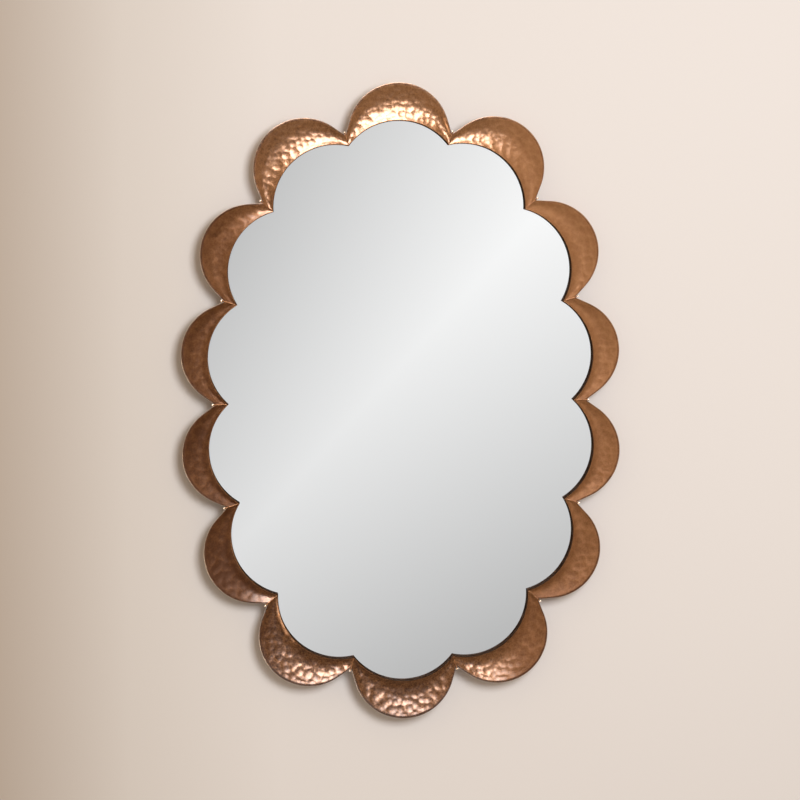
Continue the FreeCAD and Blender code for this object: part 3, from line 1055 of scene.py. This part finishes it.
def wall_plaster():
    """Pale beige wall, darkened towards the left by painted shade, that shows to the eye and to
    reflections, and only from the front.

    Light passes through it, so that the back of the mirror is lit in rear views."""
    made, tree, place = new_material("wall_plaster")
    x, _, z = tree.parts_of(place)
    stipple = tree.noise(place, scale=260.0, detail=3.0, roughness=0.5)
    # Painted shade: the tones darken towards the left of the wall.
    across = (x / wall_shade_width + 0.5).clamped()
    tone = tree.ramp(across, (0.0, colour(*wall_left_painted_shade)), (0.17, colour(*wall_near_painted_shade)),
                     (0.35, colour(*wall_middle_tone)), (1.0, colour(*wall_right_tone)))
    light = tree.add("ShaderNodeLightPath")
    seen = (light.output("Is Camera Ray") + light.output("Is Glossy Ray")
            + light.output("Is Transmission Ray"))
    far = light.output("Ray Length").math("GREATER_THAN", wall_sight_gap)
    from_front = 1 - tree.add("ShaderNodeNewGeometry").output("Backfacing")
    matt = tree.add("ShaderNodeBsdfDiffuse", None, color=tone,
                    normal=bump(tree, stipple, distance=0.0004, strength=0.12))
    clear = tree.add("ShaderNodeBsdfTransparent")
    shown = (seen * far * from_front).clamped()
    surface = tree.add("ShaderNodeMixShader", None, shown, clear, matt)
    tree.add("ShaderNodeOutputMaterial", None, surface)
    return made


def add_wall():
    corners = [(-wall_half, -wall_half), (wall_half, -wall_half), (wall_half, wall_half),
               (-wall_half, wall_half)]
    points = [(x, wall_clearance, z) for x, z in corners]
    wall = mesh_object("wall", points, [(0, 1, 2, 3)])
    wall.data.materials.append(wall_plaster())


def add_lamp(name, place, target, size, power):
    """A soft rectangular lamp that lights the surfaces but isn't mirrored in them."""
    light = bpy.data.lights.new(name, "AREA")
    light.shape = "RECTANGLE"
    light.size, light.size_y = size
    light.energy = power
    lamp = bpy.data.objects.new(name, light)
    lamp.location = place
    lamp.rotation_mode = "QUATERNION"
    lamp.rotation_quaternion = (target - place).to_track_quat("-Z", "Y")
    lamp.visible_camera = False
    lamp.visible_glossy = False
    bpy.context.scene.collection.objects.link(lamp)


def add_room(camera_place):
    """The room as the metal and the glass reflect it; the eye sees a plain backdrop past the wall.

    It has a tall panel in front, a window low on the left and the glass's sheen straight ahead."""
    world = bpy.data.worlds.new("room")
    world.use_nodes = True
    world.node_tree.nodes.clear()
    bpy.context.scene.world = world
    tree = Tree(world.node_tree)
    light = tree.add("ShaderNodeLightPath")
    reflected = light.output("Is Glossy Ray")
    x, y, z = tree.parts_of(tree.add("ShaderNodeTexCoord").output("Generated"))

    # Place on the glass where the camera sees this direction reflected
    ahead = (-y).math("MAXIMUM", least_ahead)
    to_glass = -camera_place.y - glass_front
    seen_x = x / ahead * to_glass + camera_place.x
    seen_z = z / ahead * to_glass + camera_place.z

    def slanting(level, slopes, middle):
        return (seen_x - middle[0]) * slopes[0] + (seen_z - middle[1]) * slopes[1] + level

    sheen = slanting(*sheen_left).math("MINIMUM", slanting(*sheen_right))
    sheen = sheen.math("MAXIMUM", sheen_least)
    facing = (-y).smooth(*sheen_ends)
    behind = y.smooth(0, behind_from)
    room = z.smooth(-ceiling_from, ceiling_from).between(floor_level, ceiling_level)
    room = room + behind * behind_level

    rise = z.math("ARCSINE")
    turn = x.math("ARCTAN2", -y)
    past_left = (turn + rise * panel_left_lean).smooth(panel_left, panel_left + panel_edge)
    past_right = (turn - rise * panel_right_lean).smooth(panel_right - panel_edge, panel_right)
    panel = past_left * (1 - past_right) * rise.smooth(panel_bottom, panel_full)
    panel = panel * (1 - rise.smooth(panel_top - panel_edge, panel_top))
    panel = panel * rise.smooth(*panel_brightens).between(1 - panel_dim, 1)
    panel = panel * (-y).math("GREATER_THAN", 0) * reflected

    def within(angle, middle, half):
        """1 within a half width of an angle, and 0 a little further off."""
        off_middle = (angle - middle).math("ABSOLUTE")
        return 1 - off_middle.smooth(half, half * window_softness)

    window = within(turn, window_turn, window_half_turn) * reflected
    window = window * within(rise, window_rise, window_half_rise)

    level = facing.between(room, sheen) + panel * panel_level + window * window_level
    tint = tree.mix((facing + behind).clamped(), colour(*room_tone), colour(1.0, 1.0, 1.0))
    tint = tree.mix(panel.clamped(), tint, colour(*panel_tone))
    shine = tree.add("ShaderNodeBackground", None, color=tint, strength=level)
    backdrop = tree.add("ShaderNodeBackground", None, color=colour(*backdrop_tone), strength=1.0)
    surface = tree.add("ShaderNodeMixShader", None, light.output("Is Camera Ray"), shine, backdrop)
    tree.add("ShaderNodeOutputWorld", None, surface)


def add_camera():
    lens = bpy.data.cameras.new("camera")
    lens.sensor_width = sensor_width
    lens.lens = sensor_width * camera_distance / (photo_width * metres_per_pixel)
    camera = bpy.data.objects.new("camera", lens)
    back = Vector((math.sin(camera_turn) * math.cos(camera_rise),
                   -math.cos(camera_turn) * math.cos(camera_rise), math.sin(camera_rise)))
    camera.location = camera_aim + back * camera_distance
    camera.rotation_mode = "QUATERNION"
    roll = Quaternion((0, 0, 1), -camera_roll)
    camera.rotation_quaternion = (-back).to_track_quat("-Z", "Y") @ roll
    bpy.context.scene.collection.objects.link(camera)
    bpy.context.scene.camera = camera
    return camera


add_petals(hammered_copper())
add_strips(strip_copper())
add_seams(braze())

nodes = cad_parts
dress(["mirror_glass"], mirror_glass())
dress(["backing_board"], backing_board())
dress(["foam_tape"], foam_tape())
dress([name for name in nodes if name.startswith("board_bracket")], bracket_copper())
dress([name for name in nodes if name.endswith("screws")],
      zinc_plate("screw_steel", colour(0.62, 0.58, 0.46), (500.0, 500.0, 500.0)))
dress([name for name in nodes if name.endswith("hanger_strap")],
      zinc_plate("hanger_steel", colour(0.62, 0.63, 0.65), (1500.0, 300.0, 60.0)))
dress([name for name in nodes if name.endswith("hanger_ring")],
      zinc_plate("ring_steel", colour(0.66, 0.67, 0.69), (300.0, 300.0, 300.0)))
dress([name for name in nodes if name.endswith("bumper")], bumper_rubber())

bpy.context.scene.view_settings.view_transform = "Standard"
camera = add_camera()
add_room(camera.location)
add_wall()
add_lamp("key_softbox", key_place, Vector((0, -petal_front, 0)), key_size, key_power)
